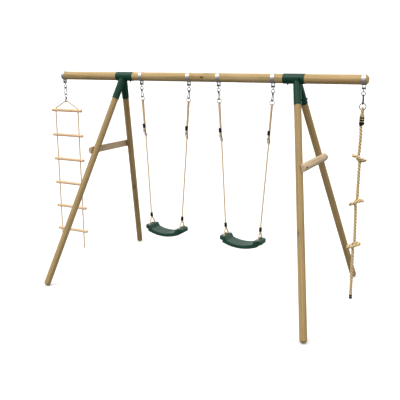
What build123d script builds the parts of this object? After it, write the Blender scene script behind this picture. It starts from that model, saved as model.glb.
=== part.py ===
from build123d import *
import math
import os

# Garden swing set: a round beam on two A-frames, two swings, a rope ladder and a
# climbing rope. Millimetres, +Z up, the front of the set faces -Y and the ground is Z = 0.
# X is measured from the middle of the two A-frames; write() then moves every piece
# by SET_SHIFT, which puts X = 0 at the middle of the whole set.

# ---- frame ----
BEAM_Z = 2004.0  # beam axis above the ground
BEAM_R = 41.3
BEAM_LEFT = -1670.0
BEAM_RIGHT = 1505.0
BEAM_CHAMFER = 14.0
LEG_R = 31.5
LEG_TOP_X = 900.0  # where a leg's axis would meet the beam's
LEG_SPREAD_X = 409.5  # outward lean for every LEG_DROP of height
LEG_SPREAD_Y = 831.8
LEG_DROP = 2000.0
LEG_START = 85.0  # along the leg, from the beam's axis
LEG_CHAMFER = 12.0
LEG_SPREAD = math.hypot(LEG_SPREAD_X, LEG_SPREAD_Y)
LEG_SLANT = math.hypot(LEG_SPREAD, LEG_DROP)
LEG_FOOT_LIFT = (LEG_R - LEG_CHAMFER) * LEG_SPREAD / LEG_SLANT  # the cut end's low edge is at Z = 0
LEG_END = (BEAM_Z - LEG_FOOT_LIFT) * LEG_SLANT / LEG_DROP

# ---- corner brackets ----
SLEEVE_INNER_R = 41.5
SLEEVE_OUTER_R = 44.2
SLEEVE_IN_X = 780.5
SLEEVE_OUT_X = 972.7
SOCKET_INNER_R = 31.7
SOCKET_OUTER_R = 34.4
SOCKET_END = 237.0
SOCKET_BORE_START = 80.0
SCREW_HEAD_R = 7.5
SCREW_HEAD_HEIGHT = 9.5
SCREW_SHANK_R = 3.0
SCREW_DEPTH = 30.0
SLEEVE_SCREW_UNDER_X = 818.0
SLEEVE_SCREW_SIDE_X = 931.0
SOCKET_SCREW_AT = 197.0

# ---- half-round braces on the outside of the legs ----
BRACE_R = 36.0
BRACE_HALF_LENGTH = 338.0
BRACE_CHAMFER = 4.0
BRACE_DROP = 734.0  # down the slope of the A-frame, from the beam's axis
BRACE_GAP = 0.2
BRACE_SCREW_HEAD_R = 7.0
BRACE_SCREW_HEAD_HEIGHT = 6.0

# ---- hangers ----
SWING_X = 420.4  # middle of each swing
SWING_HALF_SPACING = 265.0
LADDER_X = -1648.0
CLIMB_X = 1470.5
BAND_WIDTH = 34.0
BAND_INNER_R = 41.5
BAND_OUTER_R = 44.0
EAR_DEPTH = 28.0
EAR_X = 13.5
EAR_THICKNESS = 3.0
EAR_DROP = 82.0  # lower edge of the ears, below the beam's axis
BOLT_DROP = 68.0
BOLT_R = 4.0
BOLT_HEAD_R = 6.5
BOLT_HEAD_HEIGHT = 2.8
NUT_ACROSS = 12.0
NUT_HEIGHT = 3.5
HUB_R = 6.5
HUB_HALF = 11.6
HUB_BORE_R = 4.08
NECK_R = 4.0
EYE_DROP = 112.0
EYE_R = 16.5
EYE_WIRE_R = 3.25
PIVOT_DROP = EYE_DROP + EYE_R  # the snap hook rocks about the eye's lowest wire

# ---- snap hooks ----
HOOK_WIRE_R = 4.0
HOOK_TOP_R = 9.5
HOOK_FOOT_R = 18.5
HOOK_LENGTH = 78.0  # between the centres of the top and bottom wire
LINK_GAP = 0.3
HOOK_TOP_DROP = PIVOT_DROP - EYE_WIRE_R - HOOK_WIRE_R - LINK_GAP
HOOK_FOOT_DROP = HOOK_TOP_DROP + HOOK_LENGTH
GATE_PIN_AT = 8.5  # down the hook's front side, from the end of its top bow
GATE_PIN_R = 1.5
GATE_EYE_R = 3.4
GATE_ROD_R = 3.2
GATE_HALF = 2.1
CHEEK_THICKNESS = 1.6
NOSE_LENGTH = 2.0
GATE_END_GAP = 0.5

# ---- swing ropes, all in the leaning plane of the rope ----
ROPE_R = 6.0
RING_WIRE_R = 3.0
RING_R = 21.0
LOOP_HALF = 11.5  # the rope's loops over a ring: half their width, and their rise above the wire
LOOP_RISE = 9.6
STRAND = ROPE_R + 0.25  # two strands lie side by side in a clip
ROPE_TOP_DROP = HOOK_FOOT_DROP - HOOK_WIRE_R - RING_WIRE_R - LINK_GAP + 2 * RING_R
SEAT_HOLE_X = 173.5
SEAT_HOLE_Y = 51.3
SEAT_TOP_Z = 522.0
EYE_SPLICE_Y = -13.0  # the doubled rope end stands in front of the long strand
ADJUSTER_TOP_AT = 292.0
ADJUSTER_FOOT_AT = 352.0
ADJUSTER_FOOT_Y = 17.6
ADJUSTER_R = 11.0
ADJUSTER_WIRE_R = 3.0
CLIP_AT = 246.0
CLIP_HEIGHT = 42.0
CLIP_HALF_Y = 14.5
CLIP_HALF_X = 14.0
LOWER_CLIP_AT = 1156.5

# ---- seats ----
SEAT_BOTTOM_Z = 426.0
SEAT_HALF_LENGTH = 215.0
SEAT_HOLE_R = 7.8
SEAT_CHANNEL_Z = 473.0  # the rope's axis where it crosses under the end of the seat

# ---- rope ladder ----
RUNG_LENGTH = 400.0
RUNG_R = 16.0
RUNG_TOP_Z = 1638.0
RUNG_SPACING = 265.0
RUNG_COUNT = 6
LADDER_ROPE_X = 150.75
LADDER_END_Z = 120.0
SWIVEL_RING_R = 16.0
SWIVEL_STEM_R = 3.0
SWIVEL_BORE_R = 3.08
SWIVEL_HEAD_R = 5.0
SWIVEL_BARREL_R = 8.0
LADDER_RING_R = 14.0

# ---- climbing rope ----
CLIMB_ROPE_R = 12.0
CLIMB_RING_R = 26.5
CLIMB_RING_WIRE_R = 3.5
CLIMB_LOOP_HALF = 17.0
CLIMB_LOOP_RISE = 16.2
CLIMB_PAIR = (0.8, -0.6)  # across the two strands of the folded end, free strand first
CLIMB_END_Z = 99.0
KNOT_HEIGHTS = (1356.0, 980.5, 596.0)
KNOT_HALF_X = 50.0
KNOT_HALF_Y = 34.0
KNOT_HALF_Z = 36.0

SET_SHIFT = -(LADDER_X - RUNG_LENGTH / 2 + BEAM_RIGHT) / 2
ALONG_X = (1, 0, 0)
ALONG_Y = (0, 1, 0)
ALONG_Z = (0, 0, 1)

os.makedirs("parts", exist_ok=True)


def write(name, pieces):
    """Move the pieces into the set's own frame and write them as one node."""
    solids = []
    for piece in pieces:
        solids.extend(piece.moved(Location((SET_SHIFT, 0, 0))).solids())
    export_step(Compound(children=solids), f"parts/{name}.step")


def rod(start, end, radius):
    axis = Vector(*end) - Vector(*start)
    return Solid.make_cylinder(radius, axis.length, Plane(origin=start, z_dir=axis))


def wire_ring(centre, normal, ring_radius, wire_radius):
    return Solid.make_torus(ring_radius, wire_radius, Plane(origin=centre, z_dir=normal))


def tube(points, radii, radius):
    """A rope along straight runs joined by tangent arcs; prints its arcs and its volume."""
    path = FilletPolyline(*points, radius=radii)
    section = Plane(origin=path @ 0, z_dir=(path % 0)) * Circle(radius)
    solid = sweep(section, path=path).solid()
    expected = math.pi * radius**2 * path.length
    print("rope", round(path.length), "mm, radii", [round(r, 1) for r in radii],
          "volume ratio", round(solid.volume / expected, 4))
    return solid


# ---- beam, legs, braces ----
def leg_direction(side, end):
    """Unit vector down a leg: side is -1 left or 1 right, end is -1 front or 1 rear."""
    return Vector(side * LEG_SPREAD_X, end * LEG_SPREAD_Y, -LEG_DROP).normalized()


def leg_point(side, end, distance):
    return Vector(side * LEG_TOP_X, 0, BEAM_Z) + leg_direction(side, end) * distance


def make_beam():
    beam = rod((BEAM_LEFT, 0, BEAM_Z), (BEAM_RIGHT, 0, BEAM_Z), BEAM_R)
    right_edge = beam.edges().sort_by(Axis.X)[-1]
    return chamfer(right_edge, BEAM_CHAMFER)


def make_leg(side, end):
    top = leg_point(side, end, LEG_START)
    foot = leg_point(side, end, LEG_END)
    leg = rod(top, foot, LEG_R)
    foot_edge = leg.edges().filter_by(GeomType.CIRCLE).sort_by(Axis.Z)[0]
    return chamfer(foot_edge, LEG_CHAMFER)


def slope_directions(side):
    """Down the slope of an A-frame, and straight out of its outer face."""
    down = Vector(side * LEG_SPREAD_X, 0, -LEG_DROP).normalized()
    out = Vector(side * LEG_DROP, 0, LEG_SPREAD_X).normalized()
    return down, out


def brace_origin(side):
    down, out = slope_directions(side)
    top = Vector(side * LEG_TOP_X, 0, BEAM_Z)
    return top + down * BRACE_DROP + out * (LEG_R + BRACE_GAP)


def make_brace(side):
    """Half of a round pole, flat side to the legs, with its round edges bevelled at both ends."""
    _, out = slope_directions(side)
    start = brace_origin(side) - Vector(0, BRACE_HALF_LENGTH, 0)
    pole = rod(start, start + Vector(0, 2 * BRACE_HALF_LENGTH, 0), BRACE_R)
    pole = chamfer(pole.edges().filter_by(GeomType.CIRCLE), BRACE_CHAMFER)
    outer_half = Plane(origin=start, x_dir=out, z_dir=ALONG_Y) * Rectangle(
        BRACE_R + 1, 2 * BRACE_R + 2, align=(Align.MIN, Align.CENTER))
    return (pole & extrude(outer_half, amount=2 * BRACE_HALF_LENGTH)).solid()


def crossing_y():
    return BRACE_DROP * LEG_SPREAD_Y / math.hypot(LEG_SPREAD_X, LEG_DROP)


def make_screw(surface, outward, head_r, head_height, depth):
    """A round-headed screw: surface is where its head sits and outward points out of it."""
    plane = Plane(origin=surface, z_dir=outward)
    head = Solid.make_cone(head_r, head_r * 0.7, head_height, plane)
    shank_plane = Plane(origin=(surface - outward * depth), z_dir=outward)
    return (head + Solid.make_cylinder(SCREW_SHANK_R, depth, shank_plane)).solid()


def make_bracket(side):
    middle = (SLEEVE_IN_X + SLEEVE_OUT_X) / 2
    sleeve_start = (side * SLEEVE_IN_X, 0, BEAM_Z)
    sleeve_end = (side * SLEEVE_OUT_X, 0, BEAM_Z)
    bracket = rod(sleeve_start, sleeve_end, SLEEVE_OUTER_R)
    for end in (-1, 1):
        bracket += rod(leg_point(side, end, 8), leg_point(side, end, SOCKET_END), SOCKET_OUTER_R)
    reach = SLEEVE_OUT_X - middle + 20
    bracket -= rod((side * middle - reach, 0, BEAM_Z), (side * middle + reach, 0, BEAM_Z), SLEEVE_INNER_R)
    for end in (-1, 1):
        bore_start = leg_point(side, end, SOCKET_BORE_START)
        bracket -= rod(bore_start, leg_point(side, end, SOCKET_END + 5), SOCKET_INNER_R)
    return bracket.solid()


def bracket_screws():
    screws = []
    for side in (-1, 1):
        under = Vector(side * SLEEVE_SCREW_UNDER_X, 0, BEAM_Z - SLEEVE_OUTER_R)
        screws.append(make_screw(under, Vector(0, 0, -1), SCREW_HEAD_R, SCREW_HEAD_HEIGHT, SCREW_DEPTH))
        # the two brackets are the same part, one turned half round, so this screw changes face
        face = Vector(side * SLEEVE_SCREW_SIDE_X, -side * SLEEVE_OUTER_R, BEAM_Z)
        screws.append(make_screw(face, Vector(0, -side, 0), SCREW_HEAD_R, SCREW_HEAD_HEIGHT, SCREW_DEPTH))
        for end in (-1, 1):
            down = leg_direction(side, end)
            across = Vector(side, 0, 0)
            outward = (across - down * across.dot(down)).normalized()
            surface = leg_point(side, end, SOCKET_SCREW_AT) + outward * SOCKET_OUTER_R
            screws.append(make_screw(surface, outward, SCREW_HEAD_R, SCREW_HEAD_HEIGHT, SCREW_DEPTH))
    return screws


def brace_seat_point(side, end):
    """On the outermost line of a brace, in front of or behind which a leg crosses it."""
    down, out = slope_directions(side)
    return brace_origin(side) + Vector(0, end * crossing_y(), 0) + out * BRACE_R, out


def brace_screws():
    screws = []
    for side in (-1, 1):
        for end in (-1, 1):
            surface, out = brace_seat_point(side, end)
            screws.append(make_screw(surface, out, BRACE_SCREW_HEAD_R, BRACE_SCREW_HEAD_HEIGHT, 75.0))
    return screws


# ---- hangers ----
def hanger_positions():
    swings = [side * SWING_X + hand * SWING_HALF_SPACING for side in (-1, 1) for hand in (-1, 1)]
    return swings + [LADDER_X, CLIMB_X]


def make_band(x):
    """A closed strap round the beam with two ears below it that carry the bolt."""
    half = BAND_WIDTH / 2
    band = rod((x - half, 0, BEAM_Z), (x + half, 0, BEAM_Z), BAND_OUTER_R)
    for hand in (-1, 1):
        ear = Box(EAR_THICKNESS, EAR_DEPTH, EAR_DROP - 30, align=(Align.CENTER, Align.CENTER, Align.MIN))
        ear = fillet(ear.edges().filter_by(Axis.X).sort_by(Axis.Z)[:2], 7.0)
        band += ear.moved(Location((x + hand * EAR_X, 0, BEAM_Z - EAR_DROP)))
    band -= rod((x - half - 5, 0, BEAM_Z), (x + half + 5, 0, BEAM_Z), BAND_INNER_R)
    bolt_z = BEAM_Z - BOLT_DROP
    band -= rod((x - EAR_X - 10, 0, bolt_z), (x + EAR_X + 10, 0, bolt_z), BOLT_R + 0.1)
    return band.solid()


def make_bolt(x):
    z = BEAM_Z - BOLT_DROP
    face = EAR_X + EAR_THICKNESS / 2
    head_plane = Plane(origin=(x - face, 0, z), z_dir=(-1, 0, 0))
    head = Solid.make_cone(BOLT_HEAD_R, BOLT_HEAD_R * 0.6, BOLT_HEAD_HEIGHT, head_plane)
    return (head + rod((x - face - 1, 0, z), (x + face + NUT_HEIGHT + 1, 0, z), BOLT_R)).solid()


def make_nut(x):
    z = BEAM_Z - BOLT_DROP
    face = EAR_X + EAR_THICKNESS / 2
    plane = Plane(origin=(x + face, 0, z), x_dir=ALONG_Y, z_dir=ALONG_X)
    nut = extrude(plane * RegularPolygon(NUT_ACROSS / 2, 6, major_radius=False), amount=NUT_HEIGHT)
    return (nut - rod((x + face - 1, 0, z), (x + face + NUT_HEIGHT + 1, 0, z), BOLT_R)).solid()


def make_eye(x):
    """The hub on the bolt with a ring below it."""
    z = BEAM_Z - BOLT_DROP
    eye = rod((x - HUB_HALF, 0, z), (x + HUB_HALF, 0, z), HUB_R)
    eye += rod((x, 0, z), (x, 0, BEAM_Z - EYE_DROP + EYE_R), NECK_R)
    eye += wire_ring((x, 0, BEAM_Z - EYE_DROP), ALONG_Y, EYE_R, EYE_WIRE_R)
    eye -= rod((x - HUB_HALF - 1, 0, z), (x + HUB_HALF + 1, 0, z), HUB_BORE_R)
    return eye.solid()


# ---- snap hooks: a pear-shaped wire in the YZ plane with its gate on the front side ----
def hook_line():
    """The straight front side: its upper end, its direction and its length, as (y, z)."""
    centres = HOOK_LENGTH - HOOK_TOP_R - HOOK_FOOT_R
    lean = (HOOK_FOOT_R - HOOK_TOP_R) / centres
    upright = math.sqrt(1 - lean**2)
    top_centre = BEAM_Z - HOOK_TOP_DROP - HOOK_TOP_R
    upper = (-HOOK_TOP_R * upright, top_centre + HOOK_TOP_R * lean)
    return upper, (-lean, -upright), centres * upright


def hook_point(x, distance):
    """A point on the front side, distance down from the end of the top bow."""
    upper, direction, _ = hook_line()
    return (x, upper[0] + direction[0] * distance, upper[1] + direction[1] * distance)


def mirrored(point):
    return (point[0], -point[1], point[2])


def make_hook(x):
    _, direction, length = hook_line()
    upper_front = hook_point(x, 0)
    lower_front = hook_point(x, length)
    wire = Wire([
        Line(hook_point(x, GATE_PIN_AT - 4.5), upper_front).edge(),
        ThreePointArc(upper_front, (x, 0, BEAM_Z - HOOK_TOP_DROP), mirrored(upper_front)).edge(),
        Line(mirrored(upper_front), mirrored(lower_front)).edge(),
        ThreePointArc(mirrored(lower_front), (x, 0, BEAM_Z - HOOK_FOOT_DROP), lower_front).edge(),
        Line(lower_front, hook_point(x, length - NOSE_LENGTH)).edge(),
    ])
    section = Plane(origin=wire @ 0, z_dir=(wire % 0)) * Circle(HOOK_WIRE_R)
    hook = sweep(section, path=wire).solid()
    slot_middle = hook_point(x, GATE_PIN_AT / 2)
    for hand in (-1, 1):
        inner = hand * (HOOK_WIRE_R - CHEEK_THICKNESS)
        start = (slot_middle[0] + min(inner, hand * HOOK_WIRE_R), slot_middle[1], slot_middle[2])
        plane = Plane(origin=start, x_dir=(0, direction[0], direction[1]), z_dir=ALONG_X)
        cheek = extrude(plane * SlotCenterToCenter(GATE_PIN_AT, 2 * HOOK_WIRE_R), amount=CHEEK_THICKNESS)
        hook += cheek
    pin = hook_point(x, GATE_PIN_AT)
    hook -= rod((x - 6, pin[1], pin[2]), (x + 6, pin[1], pin[2]), GATE_PIN_R + 0.02)
    return hook.solid()


def make_gate_pin(x):
    pin = hook_point(x, GATE_PIN_AT)
    return rod((x - 4.6, pin[1], pin[2]), (x + 4.6, pin[1], pin[2]), GATE_PIN_R)


def make_gate(x):
    _, direction, length = hook_line()
    pin = hook_point(x, GATE_PIN_AT)
    gate = rod((x - GATE_HALF, pin[1], pin[2]), (x + GATE_HALF, pin[1], pin[2]), GATE_EYE_R)
    plane = Plane(origin=(x, pin[1], pin[2]), x_dir=(0, direction[0], direction[1]), z_dir=ALONG_X)
    neck = Rectangle(6.0, 2 * GATE_ROD_R - 0.4, align=(Align.MIN, Align.CENTER))
    gate += extrude(plane * neck, amount=GATE_HALF, both=True)
    gate_end = hook_point(x, length - NOSE_LENGTH - GATE_END_GAP)
    gate += rod(hook_point(x, GATE_PIN_AT + 4.7), gate_end, GATE_ROD_R)
    gate -= rod((x - 5, pin[1], pin[2]), (x + 5, pin[1], pin[2]), GATE_PIN_R + 0.07)
    return gate.solid()


# ---- swings ----
def rope_frame(centre_x, hand):
    """Origin at the ring's lowest wire, and the direction down the rope: hook, ring and rope
    hang in one line from the eye to the seat."""
    pivot = Vector(centre_x + hand * SWING_HALF_SPACING, 0, BEAM_Z - PIVOT_DROP)
    hole = Vector(centre_x + hand * SEAT_HOLE_X, 0, SEAT_TOP_Z)
    down = (hole - pivot).normalized()
    return pivot + down * (ROPE_TOP_DROP - PIVOT_DROP), down


def leaned(piece, centre_x, hand):
    """Turns a piece that hangs straight below an eye into line with its rope."""
    _, down = rope_frame(centre_x, hand)
    pivot = (centre_x + hand * SWING_HALF_SPACING, 0, BEAM_Z - PIVOT_DROP)
    return piece.rotate(Axis(pivot, ALONG_Y), -math.degrees(math.asin(down.X)))


def rope_place(centre_x, hand, y, at):
    top, down = rope_frame(centre_x, hand)
    return tuple(top + down * at + Vector(0, y, 0))


def rope_distance(centre_x, hand, z):
    """How far down the rope a height lies."""
    top, down = rope_frame(centre_x, hand)
    return (z - top.Z) / down.Z


def make_swing_ring(centre_x, hand):
    x = centre_x + hand * SWING_HALF_SPACING
    ring = wire_ring((x, 0, BEAM_Z - ROPE_TOP_DROP + RING_R), ALONG_Y, RING_R, RING_WIRE_R)
    return leaned(ring, centre_x, hand)


def make_swing_rope(centre_x, hand):
    """One rope: eye round the adjuster, up over the ring, down through the adjuster to the
    lower clip, then through the front hole of the seat, under it and back up to the clip."""
    channel = rope_distance(centre_x, hand, SEAT_CHANNEL_Z)
    hole_top = rope_distance(centre_x, hand, SEAT_TOP_Z)
    eye_low = ADJUSTER_TOP_AT + LOOP_RISE
    route = [
        (EYE_SPLICE_Y - STRAND, CLIP_AT - 19), (EYE_SPLICE_Y - STRAND, CLIP_AT + 19),
        (EYE_SPLICE_Y - LOOP_HALF, ADJUSTER_TOP_AT - 8), (EYE_SPLICE_Y - LOOP_HALF, eye_low),
        (EYE_SPLICE_Y + LOOP_HALF, eye_low), (EYE_SPLICE_Y + LOOP_HALF, ADJUSTER_TOP_AT - 8),
        (EYE_SPLICE_Y + STRAND, CLIP_AT + 19), (EYE_SPLICE_Y + STRAND, CLIP_AT - 30),
        (-LOOP_HALF, -LOOP_RISE), (LOOP_HALF, -LOOP_RISE),
        (0.0, LOWER_CLIP_AT - 40), (-STRAND, LOWER_CLIP_AT - 8), (-STRAND, LOWER_CLIP_AT + 22),
        (-SEAT_HOLE_Y, hole_top), (-SEAT_HOLE_Y, channel), (SEAT_HOLE_Y, channel),
        (SEAT_HOLE_Y, hole_top), (STRAND, LOWER_CLIP_AT + 22), (STRAND, LOWER_CLIP_AT - 5),
    ]
    loop = LOOP_HALF - 0.1
    radii = [
        60.0, 40.0, loop, loop, 40.0, 60.0, 300.0,
        loop, loop, 150.0, 70.0, 40.0, 35.0, 10.0, 10.0, 35.0, 40.0,
    ]
    points = [rope_place(centre_x, hand, y, at) for y, at in route]
    return tube(points, radii, ROPE_R)


def make_adjuster(centre_x, hand):
    """An oval steel link, tilted so that the rope's eye hangs on its top and the long
    strand runs through it."""
    top = Vector(*rope_place(centre_x, hand, EYE_SPLICE_Y, ADJUSTER_TOP_AT))
    foot = Vector(*rope_place(centre_x, hand, ADJUSTER_FOOT_Y, ADJUSTER_FOOT_AT))
    axis = (foot - top).normalized()
    across = Vector(0, 1, 0).cross(axis).normalized()
    oval_plane = Plane(origin=(top + foot) * 0.5, x_dir=axis, z_dir=axis.cross(across))
    straight = (foot - top).length - 2 * ADJUSTER_R
    line = (oval_plane * SlotCenterToCenter(straight, 2 * ADJUSTER_R)).wire()
    section = Plane(origin=line @ 0, z_dir=(line % 0)) * Circle(ADJUSTER_WIRE_R)
    return sweep(section, path=line).solid()


def make_clip(centre_x, hand, y, at):
    """A black plastic sleeve round two strands, with a waist at mid height."""
    _, down = rope_frame(centre_x, hand)
    sections = []
    for fraction, size in ((-0.5, 0.82), (-0.25, 1.0), (0.0, 0.9), (0.25, 1.0), (0.5, 0.82)):
        origin = rope_place(centre_x, hand, y, at + fraction * CLIP_HEIGHT)
        plane = Plane(origin=origin, x_dir=ALONG_Y, z_dir=down)
        sections.append(plane * Ellipse(CLIP_HALF_Y * size, CLIP_HALF_X * size))
    return loft(sections).solid()


def make_seat(centre_x):
    """A curved moulded seat: a sagging pan between two raised ends with two holes each."""
    top_height = SEAT_TOP_Z - SEAT_BOTTOM_Z
    side = Plane(origin=(centre_x, 0, SEAT_BOTTOM_Z), x_dir=ALONG_X, z_dir=(0, -1, 0))
    upper = [
        (-150, top_height), (-207, top_height), (-SEAT_HALF_LENGTH, top_height - 8),
        (-SEAT_HALF_LENGTH, 56), (-184, 50), (-178, 36),
    ]
    lower = [(-x, z) for x, z in reversed(upper)]
    outline = Wire([
        *Polyline(*upper).edges(),
        ThreePointArc((-178, 36), (0, 0), (178, 36)).edge(),
        *Polyline(*lower).edges(),
        Line((150, top_height), (129, 60)).edge(),
        ThreePointArc((129, 60), (0, 36), (-129, 60)).edge(),
        Line((-129, 60), (-150, top_height)).edge(),
    ])
    seat = extrude(side * Face(outline), amount=100, both=True)
    half_plan = [(0, -82), (176, -80.5), (182, -64), (SEAT_HALF_LENGTH + 2, -62)]
    plan_points = half_plan + [(x, -y) for x, y in reversed(half_plan)]
    plan_points += [(-x, -y) for x, y in half_plan[1:]] + [(-x, y) for x, y in reversed(half_plan[1:])]
    plan = make_face(Polyline(*plan_points, close=True))
    plan = fillet(plan.vertices().filter_by(lambda v: 170 < abs(v.X) < 190), 4.0)
    ends = Rectangle(2 * SEAT_HALF_LENGTH, 200)
    plan = plan & fillet(ends.vertices(), 1.0)
    base = Plane(origin=(centre_x, 0, SEAT_BOTTOM_Z - 5), x_dir=ALONG_X, z_dir=ALONG_Z)
    seat = (seat & extrude(base * plan, amount=top_height + 20)).solid()
    for hand in (-1, 1):
        bottom = rope_distance(centre_x, hand, SEAT_BOTTOM_Z - 10)
        above = rope_distance(centre_x, hand, SEAT_TOP_Z + 10)
        for end in (-1, 1):
            y = end * SEAT_HOLE_Y
            seat -= rod(rope_place(centre_x, hand, y, above), rope_place(centre_x, hand, y, bottom), SEAT_HOLE_R)
        middle = rope_place(centre_x, hand, 0, rope_distance(centre_x, hand, SEAT_CHANNEL_Z))
        channel = Box(2 * SEAT_HOLE_R, 2 * SEAT_HOLE_Y, 60, align=(Align.CENTER, Align.CENTER, Align.MAX))
        seat -= channel.moved(Location((middle[0], 0, SEAT_CHANNEL_Z + ROPE_R + 1)))
    return seat.solid()


# ---- rope ladder ----
def swivel_drops():
    """Drops of the upper ring, the barrel's top and the lower ring's centre."""
    upper = HOOK_FOOT_DROP - HOOK_WIRE_R - RING_WIRE_R - LINK_GAP + SWIVEL_RING_R
    barrel = upper + SWIVEL_RING_R + RING_WIRE_R + 2
    lower = barrel + 17 + LADDER_RING_R + RING_WIRE_R
    return upper, barrel, lower


def make_swivel_top():
    upper, barrel, _ = swivel_drops()
    x = LADDER_X
    top = wire_ring((x, 0, BEAM_Z - upper), ALONG_Y, SWIVEL_RING_R, RING_WIRE_R)
    top += rod((x, 0, BEAM_Z - upper - SWIVEL_RING_R), (x, 0, BEAM_Z - barrel - 10), SWIVEL_STEM_R)
    top += rod((x, 0, BEAM_Z - barrel - 7.3), (x, 0, BEAM_Z - barrel - 12), SWIVEL_HEAD_R)
    return top.solid()


def make_ladder_ring():
    _, barrel, lower = swivel_drops()
    x = LADDER_X
    ring = rod((x, 0, BEAM_Z - barrel), (x, 0, BEAM_Z - barrel - 18), SWIVEL_BARREL_R)
    ring += wire_ring((x, 0, BEAM_Z - lower), ALONG_X, LADDER_RING_R, RING_WIRE_R)
    ring -= rod((x, 0, BEAM_Z - barrel + 1), (x, 0, BEAM_Z - barrel - 8), SWIVEL_BORE_R)
    ring -= rod((x, 0, BEAM_Z - barrel - 7), (x, 0, BEAM_Z - barrel - 13), SWIVEL_HEAD_R + 0.4)
    return ring.solid()


def rung_heights():
    return [RUNG_TOP_Z - RUNG_SPACING * index for index in range(RUNG_COUNT)]


def make_rung(z):
    half = RUNG_LENGTH / 2
    rung = rod((LADDER_X - half, 0, z), (LADDER_X + half, 0, z), RUNG_R)
    rung = chamfer(rung.edges().filter_by(GeomType.CIRCLE), 3.0)
    for hand in (-1, 1):
        x = LADDER_X + hand * LADDER_ROPE_X
        rung -= rod((x, 0, z - 20), (x, 0, z + 20), ROPE_R + 0.3)
    return rung.solid()


def make_ladder_rope():
    """One rope from the left end up through the rungs, over the ring and down the right."""
    _, _, lower = swivel_drops()
    wire_z = BEAM_Z - lower - LADDER_RING_R
    shoulder_z = RUNG_TOP_Z + RUNG_R + 9
    slope = math.atan2(wire_z - shoulder_z, LADDER_ROPE_X)
    apex_z = wire_z + LOOP_HALF / math.cos(slope)
    left = [
        (LADDER_X - LADDER_ROPE_X, 0, LADDER_END_Z), (LADDER_X - LADDER_ROPE_X, 0, shoulder_z),
    ]
    right = [(2 * LADDER_X - x, y, z) for x, y, z in reversed(left)]
    points = left + [(LADDER_X, 0, apex_z)] + right
    return tube(points, [14.0, LOOP_HALF, 14.0], ROPE_R)


def rung_pins():
    """Short pins across each rung that hold it on its rope."""
    pins = []
    for z in rung_heights():
        for hand in (-1, 1):
            x = LADDER_X + hand * LADDER_ROPE_X
            pins.append(rod((x, -RUNG_R - 0.3, z), (x, RUNG_R + 0.3, z), 1.3))
    return pins


# ---- climbing rope ----
def climb_ring_drop():
    return HOOK_FOOT_DROP - HOOK_WIRE_R - CLIMB_RING_WIRE_R - LINK_GAP + CLIMB_RING_R


def make_climb_ring():
    return wire_ring((CLIMB_X, 0, BEAM_Z - climb_ring_drop()), ALONG_Y, CLIMB_RING_R, CLIMB_RING_WIRE_R)


def make_climb_rope():
    """The rope's upper end is folded back over the ring and seized; the rest hangs straight."""
    wire_z = BEAM_Z - climb_ring_drop() - CLIMB_RING_R
    strand = CLIMB_ROPE_R + 0.3
    across_x = CLIMB_PAIR[0] * strand
    across_y = CLIMB_PAIR[1] * strand
    points = [
        (CLIMB_X + across_x, across_y, 1648.0), (CLIMB_X + across_x, across_y, 1700.0),
        (CLIMB_X, -CLIMB_LOOP_HALF, wire_z - 10), (CLIMB_X, -CLIMB_LOOP_HALF, wire_z + CLIMB_LOOP_RISE),
        (CLIMB_X, CLIMB_LOOP_HALF, wire_z + CLIMB_LOOP_RISE), (CLIMB_X, CLIMB_LOOP_HALF, wire_z - 10),
        (CLIMB_X - across_x, -across_y, 1700.0), (CLIMB_X - across_x, -across_y, 1640.0),
        (CLIMB_X, 0, 1580.0), (CLIMB_X, 0, CLIMB_END_Z),
    ]
    loop = CLIMB_LOOP_HALF - 0.1
    return tube(points, [120.0, 60.0, loop, loop, 60.0, 120.0, 120.0, 120.0], CLIMB_ROPE_R)


def make_knot(z):
    """The outer shape of one overhand knot."""
    ball = Solid.make_sphere(1.0, Plane(origin=(0, 0, 0)), angle1=-90, angle2=90, angle3=360)
    stretched = ball.transform_geometry(Matrix([
        [KNOT_HALF_X, 0, 0, CLIMB_X], [0, KNOT_HALF_Y, 0, 0], [0, 0, KNOT_HALF_Z, z],
    ]))
    return stretched.solid()


def oval(z, half_across, half_depth, shift=0.0):
    """An oval round the folded end, moved against the free strand by shift."""
    origin = (CLIMB_X - CLIMB_PAIR[0] * shift, -CLIMB_PAIR[1] * shift, z)
    return Plane(origin=origin, x_dir=(*CLIMB_PAIR, 0), z_dir=ALONG_Z) * Ellipse(half_across, half_depth)


def climb_clips():
    """Two thin bands and a tapered cup that hold the rope's folded end."""
    clips = [extrude(oval(z - 5.5, 27.0, 14.5), amount=11.0).solid() for z in (1696.0, 1674.5)]
    cup = loft([oval(1630, 15.0, 13.5, 7.5), oval(1648, 28.0, 16.0), oval(1661, 27.5, 15.5)])
    return clips + [cup.solid()]


def climb_end_bands():
    bands = []
    for low, high in ((121.0, 135.0), (99.5, 116.0)):
        bands.append(rod((CLIMB_X, 0, low), (CLIMB_X, 0, high), CLIMB_ROPE_R + 1.5))
    return bands


# ---- write every node ----
write("beam", [make_beam()])
for side, side_name in ((-1, "left"), (1, "right")):
    for end, end_name in ((-1, "front"), (1, "rear")):
        write(f"leg_{end_name}_{side_name}", [make_leg(side, end)])
    write(f"bracket_{side_name}", [make_bracket(side)])
    write(f"brace_{side_name}", [make_brace(side)])
write("bracket_screws", bracket_screws())
write("brace_screws", brace_screws())

write("hanger_bands", [make_band(x) for x in hanger_positions()])
write("hanger_bolts", [make_bolt(x) for x in hanger_positions()])
write("hanger_nuts", [make_nut(x) for x in hanger_positions()])

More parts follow.
